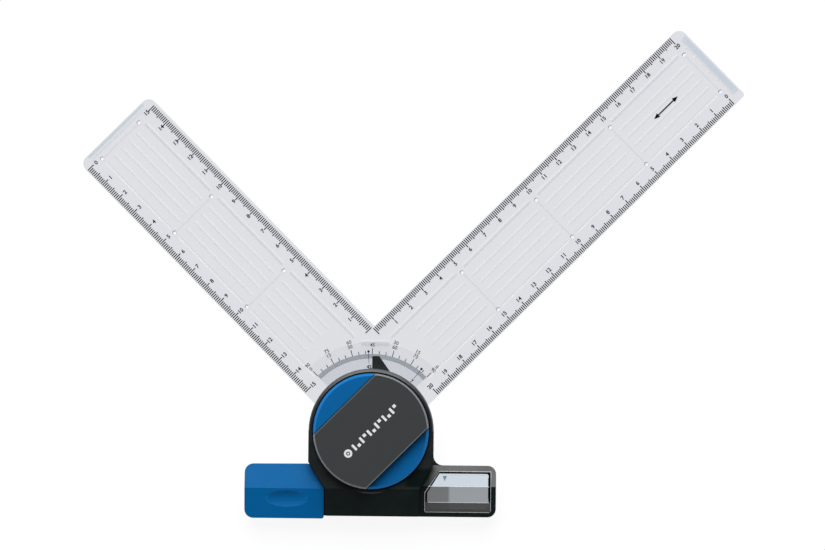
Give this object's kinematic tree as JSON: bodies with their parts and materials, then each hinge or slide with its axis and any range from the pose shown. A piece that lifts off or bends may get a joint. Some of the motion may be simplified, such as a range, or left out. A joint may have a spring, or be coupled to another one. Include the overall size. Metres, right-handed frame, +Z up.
{
  "type": "drafting head",
  "caption": "Clear L-shaped square with two scaled arms, turning by a round knob on a housing with a foot bar, thumb lever, angle pointer and reading window.",
  "frame": {"origin": "on the square's turning axis, in the plane of the drawing paper, at the centre of the clamp plate's underside", "axes": "+X along the board's rail towards the long arm, +Y away from the rail towards the square's corner at rest, +Z up off the paper"},
  "size_m": [0.3186, 0.237, 0.027],
  "materials": {
    "clear": "clear polished plastic",
    "black": "fine satin moulding",
    "grip": "fine matte grain",
    "blue": "satin moulding",
    "white": "smooth sliding plastic",
    "steel": "plated",
    "rubber": "matte"
  },
  "bodies": {
    "base": {"housing": "black", "retaining_ring": "white", "friction_washer": "white", "brake_lining": "rubber", "angle_pointer": "black", "reading_window": "clear", "sole_plate": "black", "glide_pad_1": "white", "glide_pad_2": "white", "glide_pad_3": "white", "glide_pad_4": "white", "guide_shoe_1": "white", "guide_shoe_2": "white", "lever_pin": "steel", "ring_screw_1": "steel", "ring_screw_2": "steel", "ring_screw_3": "steel", "sole_screw_1": "steel", "sole_screw_2": "steel", "shoe_screw_1": "steel", "shoe_screw_2": "steel"},
    "square": {"ruler_square": "clear", "clamp_plate": "white", "hub_carrier": "white", "grip_bar": "grip", "clamp_screw_1": "steel", "clamp_screw_2": "steel", "clamp_screw_3": "steel", "axle_screw": "steel"},
    "release": {"release_plate": "blue", "lock_plate": "steel", "lock_spring": "steel"},
    "lever": {"rail_lever": "blue", "rail_brake_pad": "rubber", "lever_spring": "steel"}
  },
  "joints": [
    {"name": "ruler_turn", "type": "hinge", "parent": "base", "child": "square", "pos_m": [0, 0, 0], "axis": [0, 0, 1], "range_deg": [-45, 45]},
    {"name": "release_press", "type": "slide", "parent": "square", "child": "release", "axis": [0, 0, -1], "range_m": [0, 0.0015], "stiffness_N_per_m": 800, "springref_m": -0.002, "deforming": ["lock_spring"]},
    {"name": "lever_press", "type": "hinge", "parent": "base", "child": "lever", "pos_m": [-0.042, -0.0278, 0.009], "axis": [1, 0, 0], "range_deg": [0, 5], "stiffness_Nm_per_rad": 0.4, "springref_deg": -8.59, "deforming": ["lever_spring"]}
  ]
}
